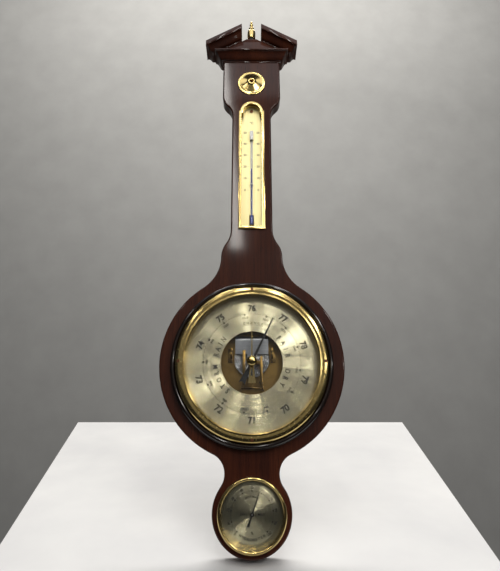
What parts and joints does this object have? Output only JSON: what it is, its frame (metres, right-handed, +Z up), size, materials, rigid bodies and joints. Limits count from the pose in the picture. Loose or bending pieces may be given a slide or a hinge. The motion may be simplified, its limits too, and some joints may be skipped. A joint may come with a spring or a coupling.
{
  "type": "wall weather station",
  "caption": "Banjo-shaped wooden wall case with an open-movement aneroid barometer, a glass-tube thermometer and a small hygrometer.",
  "frame": {"origin": "centre of the hanger plate's round hole, on the plane of the wall", "axes": "+Z up along the case, the dials face -Y, +Y into the wall, +X to the right of a person who reads the dials"},
  "size_m": [0.1994, 0.0378, 0.6579],
  "materials": {
    "mahogany": "stained and lacquered",
    "dark_wood": "stained dark, gloss lacquer",
    "polished_brass": "polished and lacquered",
    "aged_brass": "dull",
    "movement_brass": "fine turned",
    "gold_scale": "satin gilt",
    "spun_dial": "circular brushed, champagne",
    "clear_glass": "clear",
    "tube_glass": "clear",
    "white_enamel": "gloss white",
    "blue_spirit": "coloured liquid",
    "capsule_metal": "corrugated, bright",
    "spring_steel": "ground",
    "black_paint": "satin black",
    "steel": "plain",
    "coil_strip": "thin strip",
    "cover_card": "matt"
  },
  "bodies": {
    "case": {"case_board": "mahogany", "ring_moulding": "dark_wood", "tympanum": "mahogany", "rake_left": "mahogany", "rake_right": "mahogany", "rake_return_left": "mahogany", "rake_return_right": "mahogany", "cornice_front": "mahogany", "cornice_left": "mahogany", "cornice_right": "mahogany", "finial_seat": "dark_wood", "finial": "polished_brass", "rosette": "polished_brass", "rosette_pin": "aged_brass", "thermometer_frame": "polished_brass", "thermometer_plate": "gold_scale", "thermometer_screw": "aged_brass", "thermometer_tube": "tube_glass", "thermometer_liquid": "blue_spirit", "tube_backing": "white_enamel", "tube_holder": "white_enamel", "tube_clip": "white_enamel", "bezel": "polished_brass", "bezel_screws": "aged_brass", "glass": "clear_glass", "reflector_ring": "polished_brass", "dial": "spun_dial", "movement_can": "steel", "base_plate": "movement_brass", "capsule": "capsule_metal", "main_spring": "spring_steel", "spring_brackets": "movement_brass", "rocker_brackets": "movement_brass", "lower_bridge": "movement_brass", "upper_bridge": "movement_brass", "chain": "movement_brass", "hairspring": "spring_steel", "back_cover": "cover_card", "back_cover_screws": "steel", "hygro_can": "steel", "hygro_bezel": "polished_brass", "hygro_glass": "clear_glass", "hygro_spacer": "polished_brass", "hygro_dial": "spun_dial", "hygro_coil": "coil_strip", "hanger_plate": "aged_brass", "hanger_screws": "steel"},
    "pressure_hand": {"pressure_hand": "black_paint", "centre_arbor": "steel"},
    "rocker": {"rocking_arbor": "movement_brass"},
    "lever": {"main_lever": "movement_brass"},
    "set_hand": {"set_hand": "polished_brass", "set_knob": "polished_brass"},
    "humidity_hand": {"hygro_hand": "black_paint", "hygro_arbor": "steel"},
    "adjuster": {"adjusting_screw": "steel"}
  },
  "joints": [
    {"name": "pressure_hand_turn", "type": "hinge", "parent": "case", "child": "pressure_hand", "pos_m": [0, 0, -0.36095], "axis": [0, 1, 0], "range_deg": [-223.8, 100.2], "deforming": ["hairspring", "chain"]},
    {"name": "rocker_turn", "type": "hinge", "parent": "case", "child": "rocker", "pos_m": [0, -0.008, -0.38695], "axis": [1, 0, 0], "range_deg": [-13, 28]},
    {"name": "lever_swing", "type": "hinge", "parent": "case", "child": "lever", "pos_m": [0, -0.00835, -0.33655], "axis": [1, 0, 0], "range_deg": [-2.5, 1.2]},
    {"name": "set_hand_turn", "type": "hinge", "parent": "case", "child": "set_hand", "pos_m": [0, 0, -0.36095], "axis": [0, 1, 0], "continuous": true},
    {"name": "humidity_hand_turn", "type": "hinge", "parent": "case", "child": "humidity_hand", "pos_m": [0, 0, -0.5062], "axis": [0, 1, 0], "range_deg": [-155.5, 114.5], "deforming": ["hygro_coil"]},
    {"name": "adjuster_turn", "type": "hinge", "parent": "case", "child": "adjuster", "pos_m": [0, 0, -0.35675], "axis": [0, 1, 0], "range_deg": [-360, 360]}
  ],
  "couplings": [
    {"joint": "rocker_turn", "follows": "pressure_hand_turn", "ratio": -0.1212},
    {"joint": "lever_swing", "follows": "pressure_hand_turn", "ratio": 0.01045}
  ]
}
